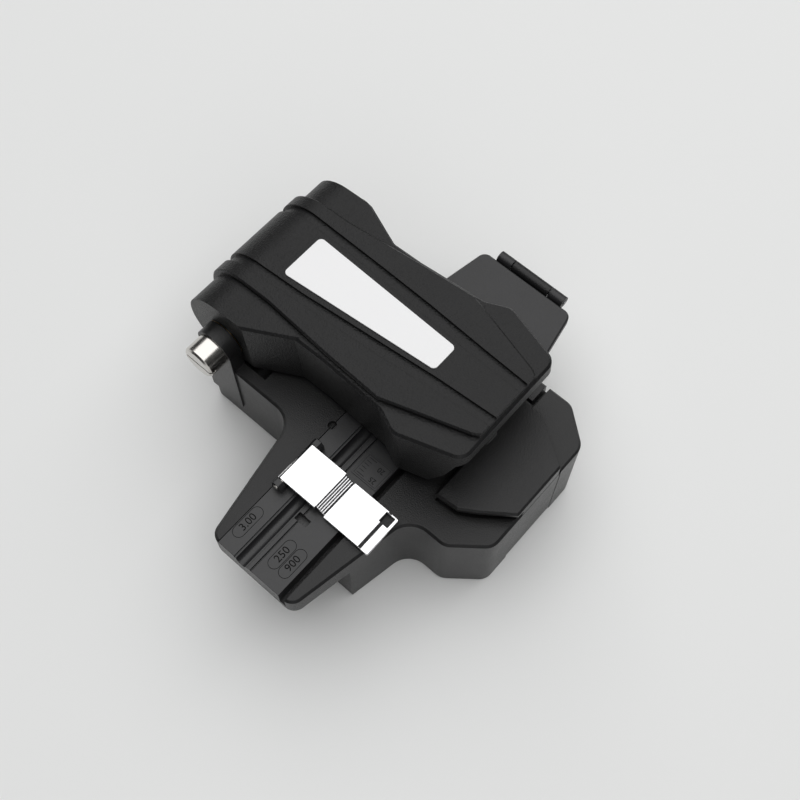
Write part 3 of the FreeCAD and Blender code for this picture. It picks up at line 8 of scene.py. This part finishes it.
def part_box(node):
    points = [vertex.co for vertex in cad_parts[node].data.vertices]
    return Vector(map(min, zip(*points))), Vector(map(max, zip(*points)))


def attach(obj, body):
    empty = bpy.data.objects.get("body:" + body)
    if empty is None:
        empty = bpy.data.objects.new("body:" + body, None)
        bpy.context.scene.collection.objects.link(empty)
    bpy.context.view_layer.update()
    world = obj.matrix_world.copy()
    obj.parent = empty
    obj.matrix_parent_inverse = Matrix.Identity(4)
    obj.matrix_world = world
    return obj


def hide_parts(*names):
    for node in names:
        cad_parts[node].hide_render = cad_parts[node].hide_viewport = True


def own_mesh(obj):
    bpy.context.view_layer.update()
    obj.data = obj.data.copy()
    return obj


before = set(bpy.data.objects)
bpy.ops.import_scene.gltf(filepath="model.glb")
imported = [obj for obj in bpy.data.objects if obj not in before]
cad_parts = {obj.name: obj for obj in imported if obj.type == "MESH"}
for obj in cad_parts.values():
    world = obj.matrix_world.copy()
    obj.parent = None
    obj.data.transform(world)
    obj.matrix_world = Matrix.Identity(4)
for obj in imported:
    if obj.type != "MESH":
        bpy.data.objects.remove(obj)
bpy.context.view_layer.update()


# --------------------------------------------------- housing, covers and bottom
# The body that carries everything: injection moulded ABS, sparked to a fine matt
# grain. The blade cover and corner cover are clipped on, and the bottom plate is
# held by four screws.
MM = 0.001


class Wire:
    """An output socket of a finish that can be added, subtracted and multiplied."""

    def __init__(self, finish, socket):
        self.finish = finish
        self.socket = socket

    def maths(self, operation, a, b, clamp=False):
        node = self.finish.node("ShaderNodeMath", {0: a, 1: b}, operation=operation, use_clamp=clamp)
        return Wire(self.finish, node.outputs[0])

    def __add__(self, other):
        return self.maths("ADD", self, other)

    def __radd__(self, other):
        return self.maths("ADD", other, self)

    def __sub__(self, other):
        return self.maths("SUBTRACT", self, other)

    def __rsub__(self, other):
        return self.maths("SUBTRACT", other, self)

    def __mul__(self, other):
        return self.maths("MULTIPLY", self, other)

    def __rmul__(self, other):
        return self.maths("MULTIPLY", other, self)

    def above(self, level, soft):
        """0 below the level, 1 above it, with a soft step between."""
        return self.maths("MULTIPLY", self - (level - soft / 2), 1 / soft, clamp=True)


class Finish:
    """One material with its Principled shader; lengths are in millimetres."""

    def __init__(self, name, slot, colour, roughness, **fixed):
        self.slot = slot
        self.material = bpy.data.materials.new(name)
        self.material.use_nodes = True
        self.tree = self.material.node_tree
        self.shader = self.tree.nodes["Principled BSDF"]
        self.vary(Base_Color=(*colour, 1), Roughness=roughness, **fixed)
        self.place = Wire(self, self.node("ShaderNodeTexCoord").outputs["Object"])

    def feed(self, socket, value):
        if isinstance(value, Wire):
            self.tree.links.new(value.socket, socket)
        else:
            socket.default_value = value

    def node(self, kind, sockets=None, **settings):
        """A node of that type with its settings, then the values or links of its sockets."""
        node = self.tree.nodes.new(kind)
        for key, value in settings.items():
            setattr(node, key, value)
        for key, value in (sockets or {}).items():
            self.feed(node.inputs[key], value)
        return node

    def vary(self, **values):
        """Values or links of the shader's sockets, with _ for a space in their names."""
        for key, value in values.items():
            self.feed(self.shader.inputs[key.replace("_", " ")], value)

    def stretched(self, x, y, z):
        """Object coordinates, scaled along the three axes."""
        node = self.node("ShaderNodeMapping", {"Vector": self.place, "Scale": (x, y, z)})
        return Wire(self, node.outputs[0])

    def noise(self, size, detail=2.0, rough=0.5, place=None):
        """Soft noise with features of about that size."""
        node = self.node("ShaderNodeTexNoise", {
            "Vector": place or self.place, "Scale": 1 / (size * MM), "Detail": detail, "Roughness": rough})
        return Wire(self, node.outputs["Fac"])

    def cells(self, size):
        """Rounded cells of that size, such as moulded leather grain."""
        node = self.node("ShaderNodeTexVoronoi", {
            "Vector": self.place, "Scale": 1 / (size * MM), "Smoothness": 0.6}, feature="SMOOTH_F1")
        return Wire(self, node.outputs["Distance"])

    def blend(self, share, first, second):
        """A colour between two others."""
        node = self.node("ShaderNodeMix", {"Factor": share, 6: (*first, 1), 7: (*second, 1)},
                         data_type="RGBA")
        return Wire(self, node.outputs[2])

    def bump(self, height, depth, strength, edge_radius):
        """Relief of that depth, on edges that look rounded to that radius."""
        edge = self.node("ShaderNodeBevel", {"Radius": edge_radius * MM}, samples=6)
        node = self.node("ShaderNodeBump", {
            "Height": height, "Distance": depth * MM, "Strength": strength,
            "Normal": Wire(self, edge.outputs[0])})
        self.vary(Normal=Wire(self, node.outputs[0]))

    def cover(self, *nodes):
        """Gives CAD nodes this finish."""
        for node in nodes:
            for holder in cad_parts[node].material_slots:
                holder.material = self.material


def moulded(name, slot, colour, roughness, grain, depth, edge_radius, shine=0.5):
    """Grained plastic: cells with finer noise between them, worn patches and some lint."""
    finish = Finish(name, slot, colour, roughness, IOR=1.5, Specular_IOR_Level=shine)
    skin = finish.cells(grain)
    patch = finish.noise(9.0, 3.0)
    finish.bump(skin + finish.noise(grain * 0.45, 1.0) * 0.35, depth, 0.8, edge_radius)
    finish.vary(Roughness=roughness - 0.08 + patch * 0.10 + skin * 0.16)
    lint = finish.noise(0.9, 4.0, 0.7).above(0.78, 0.10) * 0.25
    pale = [min(1.0, share * 2.6 + 0.02) for share in colour]
    finish.vary(Base_Color=finish.blend(lint, colour, pale))
    return finish


housing = moulded("housing plastic", "housing", (0.0085, 0.0085, 0.0088), 0.30,
                  grain=0.28, depth=0.060, edge_radius=0.20, shine=0.34)
housing.cover("base_body", "bottom_plate", "blade_cover", "front_panel")


# ----------------------------------------------------------------- rubber parts
# Soft black moulded rubber: the four feet glued into the bottom plate, the pads of the
# sheet clamp and of the four fibre clamps, and a black block under the lever's nose.
rubber = Finish("rubber", "rubber", (0.012, 0.012, 0.012), 0.75)
rubber.bump(rubber.noise(0.25, 4.0, 0.7), 0.03, 0.6, edge_radius=0.15)
rubber.vary(Roughness=0.66 + rubber.noise(2.0) * 0.2)
rubber.cover("rubber_feet", "clamp_pad", "lower_pad_left", "lower_pad_right",
             "lever_bumper", "upper_pad_left", "upper_pad_right")


# ------------------------------------------------------------------ fibre holder
# A separate, smoother moulding let into the arm and screwed from below, with
# grooves for three diameters. Each diameter is engraved in a round-ended field. The
# figures and fields are drawn as thin near-black marks on the surface; their colour is
# painted shade for the engraved grooves.
holder_finish = moulded("holder plastic", "holder_plastic", (0.016, 0.016, 0.017), 0.32,
                        grain=0.30, depth=0.010, edge_radius=0.14)
holder_finish.cover("fibre_holder", "scale_plate")
# Near-black colour of every engraved mark: painted shade standing in for the shadow inside engraved
# grooves, which are not cut.
painted_groove_shade = Finish("engraving", "holder_plastic", (0.003, 0.003, 0.003), 0.7, Specular_IOR_Level=0.1)
painted_groove_shade.vary(Roughness=0.62 + painted_groove_shade.noise(0.3) * 0.15)
engraving_depth = 0.03 * MM
line_width = 0.12 * MM


def settle(name, mesh, finish, body):
    """Links a mesh as a piece that rides on a CAD body."""
    mesh.materials.clear()
    mesh.materials.append(finish.material)
    thing = bpy.data.objects.new(name, mesh)
    bpy.context.scene.collection.objects.link(thing)
    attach(thing, body)
    return thing


def meshed(thing):
    """The mesh that a curve or text object makes, and removes the object."""
    bpy.context.scene.collection.objects.link(thing)
    bpy.context.view_layer.update()
    depsgraph = bpy.context.evaluated_depsgraph_get()
    mesh = bpy.data.meshes.new_from_object(thing.evaluated_get(depsgraph))
    bpy.data.objects.remove(thing)
    return mesh


def flat_text(word, centre, height, turn=0.0):
    """Thin figures of that height lying face up, with their middle at a point."""
    figure_share = 0.7
    text = bpy.data.curves.new("figures " + word, "FONT")
    text.body = word
    text.size = height / figure_share
    text.extrude = engraving_depth
    text.align_x = "CENTER"
    text.align_y = "CENTER"
    text.resolution_u = 4
    mesh = meshed(bpy.data.objects.new("figures " + word, text))
    mesh.transform(Matrix.Translation(centre) @ Matrix.Rotation(turn, 4, "Z"))
    return mesh


def flat_loop(points, width, z, closed=True):
    """A thin flat line of that width along points, lying face up."""
    shape = bmesh.new()
    total = len(points)
    rings = []
    for index, (x, y) in enumerate(points):
        here = Vector((x, y))
        before = Vector(points[index - 1]) if closed or index else here * 2 - Vector(points[1])
        after = Vector(points[(index + 1) % total]) if closed or index < total - 1 \
            else here * 2 - Vector(points[index - 1])
        along = (after - before).normalized()
        side = Vector((-along.y, along.x)) * width / 2
        rings.append([shape.verts.new((*(here + side * way), z + level))
                      for way, level in ((1, -engraving_depth), (1, engraving_depth),
                                         (-1, engraving_depth), (-1, -engraving_depth))])
    for index in range(total if closed else total - 1):
        first, second = rings[index], rings[(index + 1) % total]
        for corner in range(4):
            shape.faces.new((first[corner], first[(corner + 1) % 4],
                             second[(corner + 1) % 4], second[corner]))
    if not closed:
        shape.faces.new(rings[0])
        shape.faces.new(rings[-1][::-1])
    bmesh.ops.recalc_face_normals(shape, faces=shape.faces)
    mesh = bpy.data.meshes.new("line")
    shape.to_mesh(mesh)
    shape.free()
    return mesh


def stadium(x0, x1, y, radius, steps=14):
    """Outline of a long round-ended field."""
    points = []
    for end, centre in ((1, x1), (-1, x0)):
        for step in range(steps + 1):
            angle = (-pi / 2 if end > 0 else pi / 2) + pi * step / steps
            points.append((centre + radius * cos(angle), y + radius * sin(angle)))
    return points


holder_low, holder_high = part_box("fibre_holder")
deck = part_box("scale_plate")[0][2]
field_radius = 1.5 * MM
figure_height = 1.9 * MM
field_start = holder_low[0] + 5.0 * MM
for word, length, from_rear in (("3.00", 5.9, 1.9), ("250", 5.1, 13.2), ("900", 5.1, 16.5)):
    field_end = field_start + length * MM
    y = holder_high[1] - from_rear * MM
    settle("field_" + word, flat_loop(stadium(field_start, field_end, y, field_radius), line_width, deck),
           painted_groove_shade, "housing")
    settle("figures_" + word, flat_text(word, ((field_start + field_end) / 2, y, deck), figure_height),
           painted_groove_shade, "housing")


# ------------------------------------------------------------------- scale plate
# A small plate of the same plastic, let into the holder beside the groove. A frame,
# ruled ticks and two figures on it give the cutting length, drawn as thin near-black
# marks in the same painted groove shade.
plate_low, plate_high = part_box("scale_plate")
plate_top = plate_high[2]
margin = 0.45 * MM
left, right_end = plate_low[0] + margin, plate_high[0] - margin
near, far = plate_low[1] + margin, plate_high[1] - margin
settle("scale_frame", flat_loop([(left, near), (right_end, near), (right_end, far), (left, far)],
                                0.10 * MM, plate_top), painted_groove_shade, "housing")
first_tick = 1.0
tick_gap = 0.92
tick_end = 0.9
for number in range(6):
    x = plate_low[0] + (first_tick + number * tick_gap) * MM
    reach = 2.2 if number % 5 == 0 else 1.4
    settle("scale_tick_%d" % number, flat_loop(
        [(x, plate_high[1] - tick_end * MM), (x, plate_high[1] - (tick_end + reach) * MM)],
        line_width, plate_top, closed=False), painted_groove_shade, "housing")
for word, shift in (("25", 1.6), ("20", 4.7)):
    settle("scale_figures_" + word, flat_text(
        word, (plate_low[0] + shift * MM, plate_low[1] + 2.2 * MM, plate_top), 1.3 * MM, turn=pi / 2),
        painted_groove_shade, "housing")


# ------------------------------------------------------------------- sheet clamp
# A spring steel strip, pressed with ribs across its step and bright chrome plated.
# It turns on a nickel plated pin in two lugs, and a magnet in the holder keeps it shut.
chrome = Finish("chrome", "chrome", (0.80, 0.80, 0.81), 0.07, Metallic=1.0)
chrome.bump(chrome.noise(6.0, 1.0), 0.12, 0.35, edge_radius=0.18)
chrome.vary(Roughness=0.045 + chrome.noise(1.2, 4.0, 0.7) * 0.06)
chrome.cover("clamp_plate")

nickel = Finish("nickel", "nickel", (0.62, 0.60, 0.57), 0.22, Metallic=1.0)
nickel.bump(nickel.noise(0.5, 2.0, place=nickel.stretched(6, 1, 1)), 0.01, 0.4, edge_radius=0.18)
nickel.vary(Roughness=0.16 + nickel.noise(1.5, 3.0) * 0.12)
nickel.cover("hinge_axle", "clamp_magnet", "clamp_pin")


def middle(node):
    """Centre of a CAD node's box."""
    low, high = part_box(node)
    return (Vector(low) + Vector(high)) / 2


def wire_mesh(name, points, radius, sides=3):
    """A round wire along points."""
    curve = bpy.data.curves.new(name, "CURVE")
    curve.dimensions = "3D"
    curve.bevel_depth = radius
    curve.bevel_resolution = sides
    curve.use_fill_caps = True
    line = curve.splines.new("POLY")
    line.points.add(len(points) - 1)
    for point, place in zip(line.points, points):
        point.co = (*place, 1)
    mesh = meshed(bpy.data.objects.new(name, curve))
    for face in mesh.polygons:
        face.use_smooth = True
    return mesh


clamp_low, clamp_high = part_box("clamp_plate")
fibre_y = middle("lower_clamp_left").y
rib_count = 4
rib_inset = 0.4 * MM
step_start, step_width = 1.75, 2.2
step_top, step_drop = 0.15, 1.25
for number in range(rib_count):
    share = (number + 0.5) / rib_count
    y = fibre_y - (step_start + step_width * share) * MM
    z = clamp_high[2] - (step_top + step_drop * share) * MM - 0.05 * MM
    rib = wire_mesh("rib", [(clamp_low[0] + rib_inset, y, z), (clamp_high[0] - rib_inset, y, z)],
                    0.16 * MM)
    settle("clamp_rib_%d" % number, rib, chrome, "sheet_clamp")


# ---------------------------------------------------- fibre clamps and metal parts
# Milled aluminium blocks hold the fibre on both sides of the blade. The rail, chassis,
# posts and yoke are pressed or turned steel, the screws dark zinc plated steel, and
# the anvil and the hinge's bushes turned brass.
def metal(name, slot, colour, roughness, along=(1, 1, 1)):
    """Machined metal with fine tool marks, stretched along one axis."""
    finish = Finish(name, slot, colour, roughness, Metallic=1.0)
    marks = finish.noise(0.12, 3.0, 0.6, finish.stretched(*along))
    finish.bump(marks, 0.006, 0.5, edge_radius=0.12)
    finish.vary(Roughness=roughness - 0.06 + marks * 0.14 + finish.noise(4.0) * 0.05)
    return finish


aluminium = metal("aluminium", "clamp_aluminium", (0.60, 0.60, 0.61), 0.36, (1, 8, 1))
aluminium.cover("lower_clamp_left", "lower_clamp_right", "blade_carriage",
                "upper_clamp_left", "upper_clamp_right")
steel = metal("steel", "steel", (0.44, 0.44, 0.45), 0.30, (8, 1, 1))
steel.cover("guide_rail", "axle_clip", "lever_chassis", "guide_posts", "clamp_yoke", "yoke_springs")
zinc = metal("dark zinc", "screw_steel", (0.22, 0.22, 0.23), 0.38)
zinc.cover("bottom_screws", "holder_screws", "lower_clamp_screws", "blade_screw", "chassis_screws",
           "bin_hinge_pin")
brass = metal("brass", "bush_brass", (0.60, 0.43, 0.18), 0.30)
brass.cover("hinge_bush_left", "hinge_bush_right", "anvil")


# ----------------------------------------------------- blade and carriage spring
# A disc of hardened steel with a ground edge on the sliding carriage. A wound steel
# spring between the housing and the carriage shortens as the carriage is set.
ground = metal("ground steel", "blade_steel", (0.52, 0.52, 0.54), 0.20)
ground.cover("blade_wheel")


def coil(name, start, end, radius, wire, turns, body, node, leg=None):
    """A wound steel spring between two points, in place of the sleeve of the CAD model."""
    start, end = Vector(start), Vector(end)
    axis = (end - start).normalized()
    side = axis.orthogonal().normalized()
    other = axis.cross(side)
    steps = turns * 18
    points = []
    for step in range(steps + 1):
        angle = 2 * pi * turns * step / steps
        centre = start.lerp(end, step / steps)
        points.append(centre + (side * cos(angle) + other * sin(angle)) * radius)
    if leg is not None:
        points.append(Vector(leg))
    spring = settle(name, wire_mesh(name, points, wire, sides=2), steel, body)
    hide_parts(node)
    return spring


carriage_wire = 0.25 * MM
spring_low, spring_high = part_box("carriage_spring")
spring_middle = middle("carriage_spring")
carriage_spring = coil(
    "carriage_spring_wire", (spring_middle.x, spring_low[1] + carriage_wire, spring_middle.z),
    (spring_middle.x, spring_high[1] - carriage_wire, spring_middle.z),
    (spring_high[0] - spring_low[0]) / 2 - carriage_wire, carriage_wire, 24, "housing", "carriage_spring")
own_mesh(carriage_spring)


# -------------------------------------------------------------------- press lever
# A grained ABS shell over a steel chassis, with a blank white film label stuck into
# its recess. The wound torsion spring round the hinge axle holds it open.
lever_finish = moulded("lever plastic", "lever_plastic", (0.0080, 0.0080, 0.0083), 0.34,
                       grain=0.42, depth=0.115, edge_radius=0.16, shine=0.25)
lever_finish.cover("lever_shell")

label = Finish("label film", "label_white", (0.84, 0.84, 0.845), 0.33, IOR=1.46)
label.bump(label.noise(5.0, 2.0), 0.02, 0.25, edge_radius=0.12)
label.vary(Roughness=0.30 + label.noise(3.0, 3.0) * 0.08)
label.cover("lever_label")

rest_tilt = radians(-4.5)
torsion_wire = 0.45 * MM
torsion_radius = 4.2 * MM
hinge = middle("hinge_bush_left")
lever_frame = (Matrix.Translation((middle("clamp_yoke").x, hinge.y, hinge.z))
               @ Matrix.Rotation(rest_tilt, 4, "X"))
torsion_low, torsion_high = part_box("torsion_spring")
half = (torsion_high[0] - torsion_low[0]) / 2 - torsion_wire
coil("torsion_spring_wire", lever_frame @ Vector((-half, 0, 0)),
     lever_frame @ Vector((half - torsion_wire, 0, 0)), torsion_radius, torsion_wire * 0.95, 13,
     "lever", "torsion_spring", leg=lever_frame @ Vector((half - torsion_wire, -14.0 * MM, 4.0 * MM)))


# -------------------------------------------------------------------- scrap bin
# A box of frosted light-grey plastic hung on two pegs of the right wall. Its black
# lid and the leaf let into its rim turn on one pin.
bin_plastic = Finish("frosted plastic", "bin_plastic", (0.46, 0.46, 0.45), 0.42, IOR=1.5)
bin_plastic.bump(bin_plastic.noise(0.3, 3.0), 0.015, 0.5, edge_radius=0.2)
bin_plastic.vary(Roughness=0.36 + bin_plastic.noise(3.0) * 0.12)
bin_plastic.cover("bin_body")
housing.cover("bin_hinge_leaf")
lid_finish = moulded("lid plastic", "lid_plastic", (0.0135, 0.0135, 0.0145), 0.38,
                     grain=0.28, depth=0.030, edge_radius=0.18, shine=0.47)
lid_finish.cover("bin_lid")


# ------------------------------------------------------------ stage and lighting
# A pale seamless floor under a large soft light behind the object, up and to the
# right, with a weaker one opposite it that thins the shadows in front.
floor_finish = Finish("floor", "housing", (0.79, 0.795, 0.79), 0.9)
shape = bmesh.new()
bmesh.ops.create_grid(shape, x_segments=2, y_segments=2, size=3.0)
floor_mesh = bpy.data.meshes.new("floor")
shape.to_mesh(floor_mesh)
shape.free()
floor_mesh.materials.append(floor_finish.material)
floor = bpy.data.objects.new("floor", floor_mesh)
bpy.context.scene.collection.objects.link(floor)


def softbox(name, place, size, power):
    """A square lamp at a place, turned to the object; metres and watts."""
    lamp = bpy.data.lights.new(name, "AREA")
    lamp.shape = "SQUARE"
    lamp.size = size
    lamp.energy = power
    thing = bpy.data.objects.new(name, lamp)
    bpy.context.scene.collection.objects.link(thing)
    thing.location = place
    thing.rotation_euler = Vector(place).to_track_quat("Z", "Y").to_euler()
    return thing


softbox("key", (0.37, 0.17, 1.04), 1.9, 19.0)
softbox("fill", (-0.62, -0.72, 1.00), 1.5, 6.2)

world = bpy.data.worlds.new("studio")
bpy.context.scene.world = world
world.use_nodes = True
world.node_tree.nodes["Background"].inputs["Color"].default_value = (1.0, 1.0, 1.0, 1)
world.node_tree.nodes["Background"].inputs["Strength"].default_value = 0.04
bpy.context.scene.view_settings.view_transform = "Standard"

# ------------------------------------------------------------------------ camera
# A close view from the front left that looks steeply down, rolled by a third of a
# degree.
AZIMUTH, ELEVATION, ROLL = radians(-49.0), radians(65.2), radians(0.3)
AIM = Vector((9.15, -0.85, 7.1)) * MM
DISTANCE = 300 * MM
back = Vector((sin(AZIMUTH) * cos(ELEVATION), -cos(AZIMUTH) * cos(ELEVATION), sin(ELEVATION)))
right = Vector((0, 0, 1)).cross(back).normalized()
up = back.cross(right)
lens = bpy.data.cameras.new("camera")
lens.lens = 51.9
lens.sensor_width = 36.0
lens.clip_start = 0.01
camera = bpy.data.objects.new("camera", lens)
turn = Matrix((right, up, back)).transposed().to_4x4() @ Matrix.Rotation(ROLL, 4, "Z")
camera.matrix_world = Matrix.Translation(AIM + back * DISTANCE) @ turn
bpy.context.scene.collection.objects.link(camera)
bpy.context.scene.camera = camera
